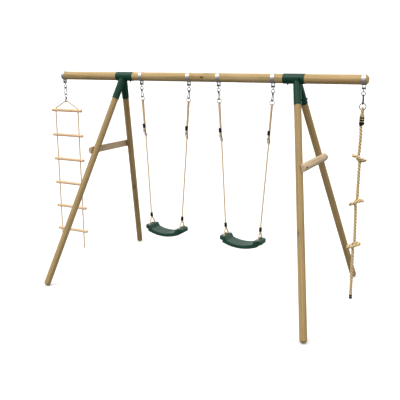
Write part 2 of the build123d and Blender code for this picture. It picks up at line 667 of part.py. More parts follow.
for side, side_name in ((-1, "left"), (1, "right")):
    centre_x = side * SWING_X
    spots = [centre_x + hand * SWING_HALF_SPACING for hand in (-1, 1)]
    write(f"swing_eyes_{side_name}", [make_eye(x) for x in spots])
    hands = (-1, 1)
    write(f"swing_hooks_{side_name}", [leaned(make_hook(x), centre_x, hand) for x, hand in zip(spots, hands)])
    pins = [leaned(make_gate_pin(x), centre_x, hand) for x, hand in zip(spots, hands)]
    write(f"swing_gate_pins_{side_name}", pins)
    gates = [leaned(make_gate(x), centre_x, hand) for x, hand in zip(spots, hands)]
    write(f"swing_gate_outer_{side_name}", [gates[0 if side < 0 else 1]])
    write(f"swing_gate_inner_{side_name}", [gates[1 if side < 0 else 0]])
    write(f"swing_rings_{side_name}", [make_swing_ring(centre_x, hand) for hand in (-1, 1)])
    write(f"swing_ropes_{side_name}", [make_swing_rope(centre_x, hand) for hand in (-1, 1)])
    write(f"swing_adjusters_{side_name}", [make_adjuster(centre_x, hand) for hand in (-1, 1)])
    upper_clips = [make_clip(centre_x, hand, EYE_SPLICE_Y, CLIP_AT) for hand in (-1, 1)]
    lower_clips = [make_clip(centre_x, hand, 0, LOWER_CLIP_AT) for hand in (-1, 1)]
    write(f"swing_clips_{side_name}", upper_clips + lower_clips)
    write(f"swing_seat_{side_name}", [make_seat(centre_x)])

for prefix, x in (("ladder", LADDER_X), ("climb", CLIMB_X)):
    write(f"{prefix}_eye", [make_eye(x)])
    write(f"{prefix}_hook", [make_hook(x)])
    write(f"{prefix}_gate_pin", [make_gate_pin(x)])
    write(f"{prefix}_gate", [make_gate(x)])

write("ladder_swivel", [make_swivel_top()])
write("ladder_ring", [make_ladder_ring()])
write("ladder_rungs", [make_rung(z) for z in rung_heights()])
write("ladder_rope", [make_ladder_rope()])
write("ladder_pins", rung_pins())

write("climb_ring", [make_climb_ring()])
write("climb_rope", [make_climb_rope()])
write("climb_knots", [make_knot(z) for z in KNOT_HEIGHTS])
write("climb_clips", climb_clips())
write("climb_end_bands", climb_end_bands())
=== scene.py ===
import math
import random

import bmesh
import bpy
from mathutils import Matrix, Vector


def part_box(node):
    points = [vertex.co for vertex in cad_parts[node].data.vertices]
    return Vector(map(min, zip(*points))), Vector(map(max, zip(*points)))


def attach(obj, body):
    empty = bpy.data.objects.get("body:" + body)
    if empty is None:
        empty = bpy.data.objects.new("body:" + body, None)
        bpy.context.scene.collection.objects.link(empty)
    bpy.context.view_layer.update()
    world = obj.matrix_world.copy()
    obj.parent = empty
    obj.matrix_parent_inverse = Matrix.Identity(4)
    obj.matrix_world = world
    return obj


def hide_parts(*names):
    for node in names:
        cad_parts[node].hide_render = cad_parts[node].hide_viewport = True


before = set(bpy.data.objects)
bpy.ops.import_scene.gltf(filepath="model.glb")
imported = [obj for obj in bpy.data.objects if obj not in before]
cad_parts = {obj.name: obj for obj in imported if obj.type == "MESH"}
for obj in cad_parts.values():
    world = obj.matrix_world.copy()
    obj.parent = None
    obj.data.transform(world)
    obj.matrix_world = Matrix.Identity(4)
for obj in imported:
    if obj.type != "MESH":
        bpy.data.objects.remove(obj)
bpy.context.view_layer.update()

# ---------------------------------------------------------------- sizes, in metres, as in the CAD
MM = 0.001
SHIFT_X = 0.1715  # the middle of the two A-frames, which lengthwise places are measured from
BEAM_Z = 2.004
BEAM_R = 0.0413
BEAM_LEFT = -1.670
BEAM_RIGHT = 1.505
BEAM_BEVEL = 0.014
LEG_R = 0.0315
LEG_TOP_X = 0.900  # where a leg's axis would meet the beam's
LEG_LEAN = Vector((0.4095, 0.8318, -2.0))
LEG_START = 0.085
LEG_BEVEL = 0.012
HIDDEN_BEVEL = 0.002  # on the ends inside a band or a bracket

BRACE_R = 0.036
BRACE_HALF_LENGTH = 0.338
BRACE_BEVEL = 0.004
BRACE_DROP = 0.734  # down the slope of the A-frame, from the beam's axis
BRACE_GAP = 0.0002

SWING_X = 0.4204
SWING_HALF_SPACING = 0.265
EYE_WIRE_Z = BEAM_Z - 0.1285  # hook, ring and rope lean from the eye's lowest wire
RING_WIRE_BELOW = 0.10515

SEAT_TOP_Z = 0.522
SEAT_CHANNEL_Z = 0.473
SEAT_BOTTOM_Z = 0.426
SEAT_HALF_LENGTH = 0.215
SEAT_HOLE = Vector((0.1735, 0.0513))

ROPE_R = 0.006
CLIP_HALF_Y = 0.0145
CLIP_HALF_X = 0.014
CLIP_HEIGHT = 0.042
# the swing ropes' route is in millimetres: y across the rope's leaning plane, then distance down it
LOOP_HALF = 11.5
LOOP_RISE = 9.6
STRAND = 6.25  # from the middle of a doubled rope to either strand
EYE_Y = -13.0  # the doubled rope end stands in front of the long strand
ADJUSTER_TOP_AT = 292.0
CLIP_AT = 246.0
LOWER_CLIP_AT = 1156.5

LADDER_X = -1.648
RUNG_R = 0.016
RUNG_COUNT = 6
RUNG_BEVEL = 0.003
TOP_RUNG_Z = 1.638
LADDER_ROPE_X = 0.15075
LADDER_END_Z = 0.120
LADDER_SHOULDER_Z = TOP_RUNG_Z + RUNG_R + 0.009  # where the two sides of the rope start to close in
LADDER_SHOULDER = 0.045  # length of that bend on either side
LADDER_APEX_HALF = 0.022
LADDER_RING_DROP = 0.26165
LADDER_RING_R = 0.014
LADDER_WIRE_Z = BEAM_Z - LADDER_RING_DROP - LADDER_RING_R

CLIMB_X = 1.4705
CLIMB_ROPE_R = 0.012
CLIMB_RING_DROP = 0.21765
CLIMB_RING_R = 0.0265
CLIMB_WIRE_Z = BEAM_Z - CLIMB_RING_DROP - CLIMB_RING_R
CLIMB_PAIR = Vector((0.8, -0.6))  # across the folded end's two strands, free strand first
CLIMB_LOOP_HALF = 0.0170
CLIMB_LOOP_RISE = 0.0162
CLIMB_END_Z = 0.099
CLIMB_HELD = (0.137, 1.625)  # black bands hold the rope below the first height and above the second


# ---------------------------------------------------------------- camera
CAMERA_PLACE = (2.6902, -4.8860, 2.1504)
CAMERA_TILT = 76.54  # degrees up from straight down
CAMERA_TURN = 27.63
CAMERA_LENS = 52.2
CAMERA_SENSOR = 36.0


def make_camera():
    data = bpy.data.cameras.new("camera")
    data.lens = CAMERA_LENS
    data.sensor_width = CAMERA_SENSOR
    camera = bpy.data.objects.new("camera", data)
    camera.location = CAMERA_PLACE
    camera.rotation_euler = (math.radians(CAMERA_TILT), 0.0, math.radians(CAMERA_TURN))
    bpy.context.scene.collection.objects.link(camera)
    bpy.context.scene.camera = camera


# ---------------------------------------------------------------- node helpers
def new_material(name):
    material = bpy.data.materials.new(name)
    material.use_nodes = True
    tree = material.node_tree
    shader = tree.nodes["Principled BSDF"]
    return material, tree, shader


def add(tree, kind, **values):
    node = tree.nodes.new(kind)
    for key, value in values.items():
        if key in node.inputs:
            node.inputs[key].default_value = value
        else:
            setattr(node, key, value)
    return node


def ramp(tree, source, stops):
    node = tree.nodes.new("ShaderNodeValToRGB")
    elements = node.color_ramp.elements
    while len(elements) < len(stops):
        elements.new(0.5)
    for element, (place, colour) in zip(elements, stops):
        element.position = place
        element.color = (*colour, 1.0)
    tree.links.new(source, node.inputs["Fac"])
    return node.outputs["Color"]


def grey_ramp(tree, source, stops):
    return ramp(tree, source, [(place, (value, value, value)) for place, value in stops])


def feed(tree, socket, value):
    """Links a node's output to the socket, or sets the socket's own value."""
    if isinstance(value, bpy.types.NodeSocket):
        tree.links.new(value, socket)
    else:
        socket.default_value = value


def coordinates(tree, scale=(1.0, 1.0, 1.0), location=(0.0, 0.0, 0.0)):
    where = tree.nodes.new("ShaderNodeTexCoord")
    mapping = add(tree, "ShaderNodeMapping", Scale=scale, Location=location)
    tree.links.new(where.outputs["Object"], mapping.inputs["Vector"])
    return mapping.outputs["Vector"]


def noise(tree, vector, scale, detail=3.0, roughness=0.55):
    node = add(tree, "ShaderNodeTexNoise", Scale=scale, Detail=detail, Roughness=roughness)
    tree.links.new(vector, node.inputs["Vector"])
    return node.outputs["Fac"]


def maths(tree, operation, *terms):
    node = add(tree, "ShaderNodeMath", operation=operation)
    for socket, term in zip(node.inputs, terms):
        feed(tree, socket, term)
    return node.outputs[0]


def mixed(tree, mode, factor, first, second):
    node = add(tree, "ShaderNodeMix", data_type="RGBA", blend_type=mode)
    for index, value in ((0, factor), (6, first), (7, second)):
        feed(tree, node.inputs[index], value)
    return node.outputs[2]


def varied_roughness(tree, shader, source, low, high):
    rough = add(tree, "ShaderNodeMapRange")
    rough.inputs["To Min"].default_value = low
    rough.inputs["To Max"].default_value = high
    tree.links.new(source, rough.inputs["Value"])
    tree.links.new(rough.outputs[0], shader.inputs["Roughness"])


def bump(tree, shader, height, strength, distance, under=None):
    node = add(tree, "ShaderNodeBump", Strength=strength, Distance=distance)
    tree.links.new(height, node.inputs["Height"])
    if under is not None:
        tree.links.new(under, node.inputs["Normal"])
    tree.links.new(node.outputs["Normal"], shader.inputs["Normal"])
    return node.outputs["Normal"]


# ---------------------------------------------------------------- materials
# each wood's tones: light and mid early growth, then the dark late growth
BEAM_WOOD = ((0.590, 0.428, 0.210), (0.53, 0.370, 0.170), (0.45, 0.295, 0.125))
LEG_WOOD = ((0.480, 0.345, 0.160), (0.42, 0.288, 0.124), (0.35, 0.224, 0.092))
BRACE_WOOD = ((0.72, 0.56, 0.385), (0.65, 0.485, 0.315), (0.55, 0.385, 0.225))
RUNG_WOOD = ((0.96, 0.67, 0.43), (0.90, 0.61, 0.38), (0.80, 0.50, 0.29))
RING_SPACING = 0.0058
PITH_OFFSET = 0.012
PITH_WANDER = 0.026
KNOT_SHADE = 0.42  # of the dark tone
BEAM_MARK = Vector((-BEAM_R, 0.002, 1.668))
MARK_CORE = (0.085, 0.022, 0.010, 1.0)
MARK_STREAK = (0.30, 0.125, 0.040, 1.0)
STREAKS_BEFORE_MARK = 0.085


def wood_material(name, tones, seed, knots=0.5, streaks=1.0, mark=None):
    """Turned pine. The object's own Z runs along the pole, and its growth rings are cut lengthwise.
    mark is the place of one dark knot with brown streaks, in the object's own frame."""
    material, tree, shader = new_material(name)
    links = tree.links
    light, mid, dark = tones
    shift = (seed * 1.7, seed * 2.3, seed * 3.1)
    wander = noise(tree, coordinates(tree, (1.0, 1.0, 0.06), shift), 9.0, 2.0, 0.5)
    # distance from a pith that lies off the pole's axis and wanders slowly
    where = tree.nodes.new("ShaderNodeTexCoord")
    split = tree.nodes.new("ShaderNodeSeparateXYZ")
    links.new(where.outputs["Object"], split.inputs[0])
    flat = tree.nodes.new("ShaderNodeCombineXYZ")
    links.new(split.outputs["X"], flat.inputs["X"])
    links.new(split.outputs["Y"], flat.inputs["Y"])
    pith = add(tree, "ShaderNodeVectorMath", operation="DISTANCE")
    pith.inputs[1].default_value = (PITH_OFFSET * math.sin(seed), PITH_OFFSET * math.cos(seed), 0.0)
    links.new(flat.outputs[0], pith.inputs[0])
    warped = maths(tree, "MULTIPLY_ADD", wander, PITH_WANDER, pith.outputs["Value"])
    wave = maths(tree, "SINE", maths(tree, "MULTIPLY", warped, 2 * math.pi / RING_SPACING))
    stretch = tree.nodes.new("ShaderNodeMapRange")
    stretch.inputs["From Min"].default_value = -1.0
    stretch.inputs["From Max"].default_value = 1.0
    links.new(wave, stretch.inputs["Value"])
    growth = stretch.outputs[0]
    base = ramp(tree, growth, [(0.0, light), (0.55, mid), (0.92, dark), (1.0, mid)])
    # broad patches, green-brown from the preservative
    patches = noise(tree, coordinates(tree, (1.0, 1.0, 0.25), shift), 14.0, 3.0, 0.6)
    tint = ramp(tree, patches, [
        (0.30, (0.80, 0.83, 0.74)), (0.52, (1.0, 1.0, 1.0)), (0.75, (1.10, 0.98, 0.84)),
    ])
    colour = mixed(tree, "MULTIPLY", 0.9, base, tint)
    # fine fibres
    fibres = noise(tree, coordinates(tree, (1.0, 1.0, 0.018), shift), 900.0, 2.0, 0.7)
    fibre_tone = grey_ramp(tree, fibres, [(0.30, 0.80), (0.55, 1.0), (0.80, 1.06)])
    colour = mixed(tree, "MULTIPLY", 0.55 * streaks, colour, fibre_tone)
    # a few oval knots
    cells = add(tree, "ShaderNodeTexVoronoi", feature="F1", Scale=7.0)
    links.new(coordinates(tree, (1.0, 1.0, 0.42), shift), cells.inputs["Vector"])
    stops = [(0.0, 1.0), (0.045, 1.0), (0.075, 0.35), (0.16, 0.0)]
    knot = maths(tree, "MULTIPLY", grey_ramp(tree, cells.outputs["Distance"], stops), knots)
    colour = mixed(tree, "MIX", knot, colour, (*[c * KNOT_SHADE for c in dark], 1.0))
    if mark is not None:
        colour = marked(tree, colour, mark)
    links.new(colour, shader.inputs["Base Color"])
    varied_roughness(tree, shader, fibres, 0.48, 0.68)
    shader.inputs["Specular IOR Level"].default_value = 0.35
    first = bump(tree, shader, fibres, 0.22, 0.0006)
    bump(tree, shader, growth, 0.12, 0.0006, under=first)
    return material


def marked(tree, colour, mark):
    """Adds one knot at mark and a patch of thin brown streaks along the pole beside it."""
    distances = []
    for place, squash in ((mark, 0.50), (mark - Vector((0.0, 0.0, STREAKS_BEFORE_MARK)), 0.28)):
        moved = [-place.x, -place.y, -place.z * squash]
        near = add(tree, "ShaderNodeVectorMath", operation="LENGTH")
        tree.links.new(coordinates(tree, (1.0, 1.0, squash), moved), near.inputs[0])
        distances.append(near.outputs["Value"])
    fleck = noise(tree, coordinates(tree, (1.0, 1.0, 0.16)), 130.0, 2.0, 0.6)
    flecks = grey_ramp(tree, fleck, [(0.50, 0.0), (0.60, 1.0)])
    patch = grey_ramp(tree, distances[1], [(0.010, 0.75), (0.030, 0.0)])
    streaks = mixed(tree, "MULTIPLY", 1.0, flecks, patch)
    colour = mixed(tree, "MIX", streaks, colour, MARK_STREAK)
    core = grey_ramp(tree, distances[0], [(0.006, 1.0), (0.011, 0.0)])
    return mixed(tree, "MIX", core, colour, MARK_CORE)


def steel_material(name, shade, roughness):
    """Galvanised steel: cloudy grey with a fine brushed skin."""
    material, tree, shader = new_material(name)
    cloud = noise(tree, coordinates(tree), 60.0, 4.0, 0.6)
    dull = (shade * 0.86, shade * 0.87, shade * 0.86)
    bright = (shade, shade, shade * 0.99)
    tree.links.new(ramp(tree, cloud, [(0.3, dull), (0.7, bright)]), shader.inputs["Base Color"])
    shader.inputs["Metallic"].default_value = 1.0
    brushed = noise(tree, coordinates(tree, (1.0, 0.12, 1.0)), 1400.0, 2.0, 0.6)
    varied_roughness(tree, shader, brushed, roughness * 0.75, roughness * 1.3)
    bump(tree, shader, brushed, 0.05, 0.0002)
    return material


def paint_material(name, light, dark, roughness, grain_scale, grain_depth, specular=0.4):
    """Powder coat or moulded plastic: an even colour with slight clouding and a fine skin."""
    material, tree, shader = new_material(name)
    vector = coordinates(tree)
    cloud = noise(tree, vector, 12.0, 3.0, 0.6)
    tree.links.new(ramp(tree, cloud, [(0.3, dark), (0.7, light)]), shader.inputs["Base Color"])
    skin = noise(tree, vector, grain_scale, 2.0, 0.6)
    varied_roughness(tree, shader, skin, roughness * 0.85, roughness * 1.2)
    shader.inputs["Specular IOR Level"].default_value = specular
    bump(tree, shader, skin, 0.25, grain_depth)
    return material


def rope_material(name, low, mid, high, valley_shade_amount):
    """Twisted fibre rope: painted shade darkens the strands' valleys, marked by the mesh's groove values,
    standing in for the shade between strands.
    """
    material, tree, shader = new_material(name)
    vector = coordinates(tree)
    tone = noise(tree, vector, 35.0, 3.0, 0.6)
    base = ramp(tree, tone, [(0.25, low), (0.5, mid), (0.78, high)])
    yarn = noise(tree, vector, 900.0, 3.0, 0.7)
    yarn_tone = grey_ramp(tree, yarn, [(0.30, 0.76), (0.55, 1.0), (0.80, 1.06)])
    colour = mixed(tree, "MULTIPLY", 0.8, base, yarn_tone)
    depth = add(tree, "ShaderNodeAttribute", attribute_name="groove")
    # painted shade: points near the rope's middle, in the valleys between strands, are darkened to stand in
    # for the shade there
    painted_valley_shade = ramp(tree, depth.outputs["Fac"], [
        (0.45, (0.08, 0.05, 0.03)), (0.78, (0.45, 0.36, 0.26)), (0.95, (1.0, 1.0, 1.0)),
    ])
    colour = mixed(tree, "MULTIPLY", valley_shade_amount, colour, painted_valley_shade)
    tree.links.new(colour, shader.inputs["Base Color"])
    shader.inputs["Roughness"].default_value = 0.82
    shader.inputs["Specular IOR Level"].default_value = 0.2
    bump(tree, shader, yarn, 0.5, 0.0006)
    return material


def floor_material():
    material, tree, shader = new_material("floor_pale")
    cloud = noise(tree, coordinates(tree), 3.0, 2.0, 0.5)
    colour = ramp(tree, cloud, [(0.3, (0.93, 0.93, 0.93)), (0.7, (0.95, 0.95, 0.95))])
    tree.links.new(colour, shader.inputs["Base Color"])
    shader.inputs["Roughness"].default_value = 0.9
    shader.inputs["Specular IOR Level"].default_value = 0.1
    return material


# ---------------------------------------------------------------- mesh helpers
def mesh_object(name, verts, faces, material, smooth=True):
    mesh = bpy.data.meshes.new(name)
    mesh.from_pydata([tuple(v) for v in verts], [], faces)
    mesh.materials.append(material)
    mesh.polygons.foreach_set("use_smooth", [smooth] * len(mesh.polygons))
    mesh.update()
    obj = bpy.data.objects.new(name, mesh)
    bpy.context.scene.collection.objects.link(obj)
    return obj


def skin_faces(rows, size, first=0, clockwise=False):
    """Faces round a stack of rings of vertices, then its two end caps; clockwise is how the rings run."""
    faces = []
    for row in range(rows - 1):
        for i in range(size):
            a = first + row * size + i
            b = first + row * size + (i + 1) % size
            faces.append((a, a + size, b + size, b) if clockwise else (a, b, b + size, a + size))
    start = tuple(range(first, first + size))
    end = tuple(i + (rows - 1) * size for i in start)
    return faces + ([start, end[::-1]] if clockwise else [start[::-1], end])


def smooth_by_angle(obj, degrees):
    """Marks edges sharper than the angle as sharp, on a piece's own mesh."""
    bm = bmesh.new()
    bm.from_mesh(obj.data)
    for edge in bm.edges:
        if len(edge.link_faces) == 2:
            edge.smooth = edge.calc_face_angle(0.0) < math.radians(degrees)
    for face in bm.faces:
        face.smooth = True
    bm.to_mesh(obj.data)
    bm.free()


def lathe(name, profile, material, segments, wobble=None):
    """Turns (distance along Z, radius) pairs into a closed body; wobble(z, angle) adds to the radius."""
    verts = []
    for z, radius in profile:
        for i in range(segments):
            angle = 2 * math.pi * i / segments
            r = radius + (wobble(z, angle) if wobble and radius > 0.005 else 0.0)
            verts.append((r * math.cos(angle), r * math.sin(angle), z))
    obj = mesh_object(name, verts, skin_faces(len(profile), segments), material)
    smooth_by_angle(obj, 24.0)
    return obj


def place_along(obj, start, end):
    direction = (end - start).normalized()
    turn = direction.to_track_quat("Z", "Y").to_matrix().to_4x4()
    obj.matrix_world = Matrix.Translation(start) @ turn


# ---------------------------------------------------------------- ropes
SPAN_STEPS = 24
STRAND_SIDES = 8
HELD_SQUEEZE = 0.84
CUT_END = 0.72  # a strand's thickness at its cut end, of its full thickness
THIN_STRANDS = (0.70, 0.50)  # a strand's radius and its distance from the middle, of the rope's radius
THICK_STRANDS = (0.57, 0.60)
THIN_PITCH = 0.036
THICK_PITCH = 0.084
THIN_STEP = 0.0026
THICK_STEP = 0.0036


def rope_line(name, points):
    """Points along the NURBS spline that has these control points."""
    curve = bpy.data.curves.new(name + "_line", "CURVE")
    curve.dimensions = "3D"
    spline = curve.splines.new("NURBS")
    spline.points.add(len(points) - 1)
    for point, place in zip(spline.points, points):
        point.co = (*place, 1.0)
    spline.order_u = 3
    spline.use_endpoint_u = True
    spline.resolution_u = SPAN_STEPS
    carrier = bpy.data.objects.new(name + "_line", curve)
    bpy.context.scene.collection.objects.link(carrier)
    bpy.context.view_layer.update()
    mesh = bpy.data.meshes.new_from_object(carrier)
    line = [v.co.copy() for v in mesh.vertices]
    bpy.data.objects.remove(carrier)
    bpy.data.curves.remove(curve)
    bpy.data.meshes.remove(mesh)
    return line


def resampled(line, step):
    """The same line with points an even step apart."""
    total = sum((b - a).length for a, b in zip(line, line[1:]))
    count = max(2, round(total / step))
    spacing = total / count
    result = [line[0].copy()]
    travelled = 0.0
    target = spacing
    for a, b in zip(line, line[1:]):
        length = (b - a).length
        while length > 0 and target <= travelled + length + 1e-9 and len(result) < count:
            result.append(a.lerp(b, (target - travelled) / length))
            target += spacing
        travelled += length
    result.append(line[-1].copy())
    return result


def carried_frames(line):
    """A direction across the line at every point, turned as little as possible between points."""
    tangents = []
    for i in range(len(line)):
        before = line[max(0, i - 1)]
        after = line[min(len(line) - 1, i + 1)]
        tangents.append((after - before).normalized())
    across = tangents[0].orthogonal().normalized()
    frames = []
    for tangent in tangents:
        across = (across - tangent * across.dot(tangent)).normalized()
        frames.append((tangent, across, tangent.cross(across)))
    return frames


def twisted_rope(name, line, radius, pitch, material, strands, held):
    """Three strands laid round the line, squeezed where bands hold them below and above two heights."""
    sides = STRAND_SIDES
    strand_r, offset = (radius * share for share in strands)
    frames = carried_frames(line)
    verts = []
    faces = []
    travelled = 0.0
    turns = [0.0]
    for a, b in zip(line, line[1:]):
        travelled += (b - a).length
        turns.append(-2 * math.pi * travelled / pitch)
    squeezes = [1.0 if held[0] < point.z < held[1] else HELD_SQUEEZE for point in line]
    for strand in range(3):
        centres = []
        for point, (_, across, other), turn, squeeze in zip(line, frames, turns, squeezes):
            angle = turn + 2 * math.pi * strand / 3
            out = offset * squeeze
            centres.append(point + across * (out * math.cos(angle)) + other * (out * math.sin(angle)))
        first = len(verts)
        for i, (centre, (_, across, other)) in enumerate(zip(centres, frames)):
            thin = strand_r * squeezes[i] * (CUT_END if i in (0, len(line) - 1) else 1.0)
            for side in range(sides):
                angle = 2 * math.pi * side / sides
                verts.append(centre + across * (thin * math.cos(angle)) + other * (thin * math.sin(angle)))
        faces += skin_faces(len(line), sides, first)
    obj = mesh_object(name, verts, faces, material)
    # groove: each point's distance from the rope's middle, which the rope material turns into painted shade
    # in the strands' valleys
    groove = obj.data.attributes.new("groove", "FLOAT", "POINT")
    per_strand = len(line) * sides
    for i, vert in enumerate(verts):
        at = (i % per_strand) // sides
        groove.data[i].value = (vert - line[at]).length / (offset + strand_r) / squeezes[at]
    return obj


def swing_line(centre_x, hand):
    """The ring's lowest wire, where a swing's rope starts, and the direction down the rope."""
    eye = Vector((centre_x + hand * SWING_HALF_SPACING, 0.0, EYE_WIRE_Z))
    hole = Vector((centre_x + hand * SEAT_HOLE.x, 0.0, SEAT_TOP_Z))
    down = (hole - eye).normalized()
    return eye + down * RING_WIRE_BELOW, down


def swing_place(centre_x, hand, y, at):
    """A point of a swing rope's leaning plane, from millimetres across and down it."""
    top, down = swing_line(centre_x, hand)
    return top + down * (at * MM) + Vector((0.0, y * MM, 0.0))


def swing_route(centre_x, hand):
    top, down = swing_line(centre_x, hand)
    channel = (SEAT_CHANNEL_Z - top.z) / down.z / MM
    hole_top = (SEAT_TOP_Z - top.z) / down.z / MM
    hole_y = SEAT_HOLE.y / MM
    route = [
        (EYE_Y - STRAND, CLIP_AT - 19), (EYE_Y - STRAND, CLIP_AT + 19),
        (EYE_Y - LOOP_HALF, ADJUSTER_TOP_AT - 8), (EYE_Y - LOOP_HALF, ADJUSTER_TOP_AT + LOOP_RISE),
        (EYE_Y + LOOP_HALF, ADJUSTER_TOP_AT + LOOP_RISE), (EYE_Y + LOOP_HALF, ADJUSTER_TOP_AT - 8),
        (EYE_Y + STRAND, CLIP_AT + 19), (EYE_Y + STRAND, CLIP_AT - 30),
        (-LOOP_HALF + 0.7, 52.0), (-LOOP_HALF, -LOOP_RISE), (LOOP_HALF, -LOOP_RISE), (LOOP_HALF - 0.5, 52.0),
        (0.0, LOWER_CLIP_AT - 40), (-STRAND, LOWER_CLIP_AT - 8), (-STRAND, LOWER_CLIP_AT + 22),
        (-hole_y + 4.5, hole_top - 14.0), (-hole_y, hole_top + 6.0), (-hole_y, channel),
        (hole_y, channel), (hole_y, hole_top + 6.0), (hole_y - 4.5, hole_top - 14.0),
        (STRAND, LOWER_CLIP_AT + 22), (STRAND, LOWER_CLIP_AT - 5),
    ]
    return [swing_place(centre_x, hand, y, at) for y, at in route]


def ladder_route():
    slope = math.atan2(LADDER_WIRE_Z - LADDER_SHOULDER_Z, LADDER_ROPE_X)
    apex_z = LADDER_WIRE_Z + LOOP_HALF * MM / math.cos(slope)
    left = [
        (LADDER_X - LADDER_ROPE_X, 0.0, LADDER_END_Z),
        (LADDER_X - LADDER_ROPE_X, 0.0, LADDER_SHOULDER_Z - LADDER_SHOULDER),
        (LADDER_X - LADDER_ROPE_X, 0.0, LADDER_SHOULDER_Z),
        (LADDER_X - LADDER_ROPE_X + LADDER_SHOULDER, 0.0,
         LADDER_SHOULDER_Z + LADDER_SHOULDER * math.tan(slope)),
        (LADDER_X - LADDER_APEX_HALF, 0.0, apex_z - LADDER_APEX_HALF * math.tan(slope)),
    ]
    right = [(2 * LADDER_X - x, y, z) for x, y, z in reversed(left)]
    return [Vector(p) for p in left + [(LADDER_X, 0.0, apex_z)] + right]


KNOT_SIDE = Vector((0.978, 0.210))  # the way a knot's flat side runs
# one flat overhand knot: millimetres across it, out of it and up, from the rope above to the rope below
KNOT_ROUTE = (
    (3, 0, 80), (4, -4, 46), (3, -14, 17), (-10, -19, -1), (-34, -17, -15), (-52, -12, -22), (-51, 12, -24),
    (-22, 20, -15), (14, 18, 2), (42, 11, 10), (54, -4, 14), (38, -9, 20), (12, 2, 22), (-8, 5, 17),
    (-13, -6, -4), (-6, -8, -34), (-4, 0, -70),
)
KNOT_BODY = 40  # the route's points nearer the knot's middle than this roll with it
KNOTS = (  # height, which way up, roll about its long side
    (1.356, -1, 0.0), (0.9805, 1, 0.45), (0.596, 1, 0.0),
)


def knot_places(height, way_up, roll):
    """The knot's route in the set's frame; way_up of -1 is the same knot upside down."""
    route = KNOT_ROUTE if way_up > 0 else reversed(KNOT_ROUTE)
    places = []
    for across, out, up in route:
        turn = roll if abs(up) < KNOT_BODY else 0.0
        out, up = (out * math.cos(turn) - up * math.sin(turn),
                   up * math.cos(turn) + out * math.sin(turn))
        flat = KNOT_SIDE * (across * MM) + Vector((KNOT_SIDE.y, -KNOT_SIDE.x)) * (out * MM)
        places.append((flat.x, flat.y, height + way_up * up * MM))
    return places


def climb_route():
    pair = CLIMB_PAIR * (CLIMB_ROPE_R + 0.0003)
    half = CLIMB_LOOP_HALF
    rise = CLIMB_LOOP_RISE
    route = [
        (pair.x, pair.y, 1.648), (pair.x, pair.y, 1.690), (pair.x, pair.y, 1.718),
        (0, -half, CLIMB_WIRE_Z - 0.010), (0, -half, CLIMB_WIRE_Z + rise),
        (0, half, CLIMB_WIRE_Z + rise), (0, half, CLIMB_WIRE_Z - 0.010),
        (-pair.x, -pair.y, 1.718), (-pair.x, -pair.y, 1.690), (-pair.x, -pair.y, 1.640), (0, 0, 1.580),
    ]
    for height, way_up, roll in KNOTS:
        route += knot_places(height, way_up, roll)
    route.append((0, 0, CLIMB_END_Z))
    return [Vector((CLIMB_X + x, y, z)) for x, y, z in route]


def shifted(points):
    return [p + Vector((SHIFT_X, 0.0, 0.0)) for p in points]


def make_rope(name, points, radius, pitch, step, material, body, replaced,
              strands=THIN_STRANDS, held=(-math.inf, math.inf)):
    line = resampled(rope_line(name, shifted(points)), step)
    rope = twisted_rope(name, line, radius, pitch, material, strands, held)
    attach(rope, body)
    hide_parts(*replaced)


def make_all_ropes():
    # each rope material's last number is how strongly painted shade darkens the strands' valleys
    tan = rope_material("rope_tan", (0.78, 0.60, 0.39), (0.84, 0.66, 0.44), (0.89, 0.72, 0.50), 0.20)
    gold = rope_material("rope_golden", (1.0, 0.73, 0.40), (1.0, 0.80, 0.46), (1.0, 0.85, 0.53), 0.75)
    for side, side_name in ((-1, "left"), (1, "right")):
        for hand, hand_name in ((-1, "a"), (1, "b")):
            make_rope(f"rope_swing_{side_name}_{hand_name}", swing_route(side * SWING_X, hand), ROPE_R,
                      THIN_PITCH, THIN_STEP, tan, f"swing_{side_name}", [f"swing_ropes_{side_name}"])
    make_rope("rope_ladder", ladder_route(), ROPE_R, THIN_PITCH, THIN_STEP, tan,
              "ladder", ["ladder_rope"])
    make_rope("rope_climb", climb_route(), CLIMB_ROPE_R, THICK_PITCH, THICK_STEP, gold,
              "climb", ["climb_rope", "climb_knots"],
              strands=THICK_STRANDS, held=CLIMB_HELD)


# ---------------------------------------------------------------- poles
POLE_SEGMENTS = 56
POLE_STATION = 0.05
UNEVEN = 0.00018


def pole(name, start, end, radius, bevels, material, body, node, wobble_seed):
    """A turned pole with bevelled ends, very slightly uneven along its length."""
    length = (end - start).length
    low, high = bevels
    rng = random.Random(wobble_seed)
    phases = [rng.uniform(0, 2 * math.pi) for _ in range(6)]

    def wobble(z, angle):
        wave = math.sin(z * 5.1 + phases[0]) + 0.7 * math.sin(z * 11.3 + phases[1] + angle)
        return UNEVEN * (wave + 0.6 * math.sin(2 * angle + phases[2] + z * 2.0) - 1.6)

    profile = [(0.0, radius - low), (low, radius)]
    count = max(4, int(length / POLE_STATION))
    for i in range(1, count):
        profile.append((low + (length - low - high) * i / count, radius))
    profile += [(length - high, radius), (length, radius - high)]
    obj = lathe(name, profile, material, POLE_SEGMENTS, wobble)
    place_along(obj, start, end)
    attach(obj, body)
    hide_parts(node)
    return obj


def leg_end(side, end, distance):
    lean = Vector((side * LEG_LEAN.x, end * LEG_LEAN.y, LEG_LEAN.z)).normalized()
    return Vector((side * LEG_TOP_X + SHIFT_X, 0.0, BEAM_Z)) + lean * distance


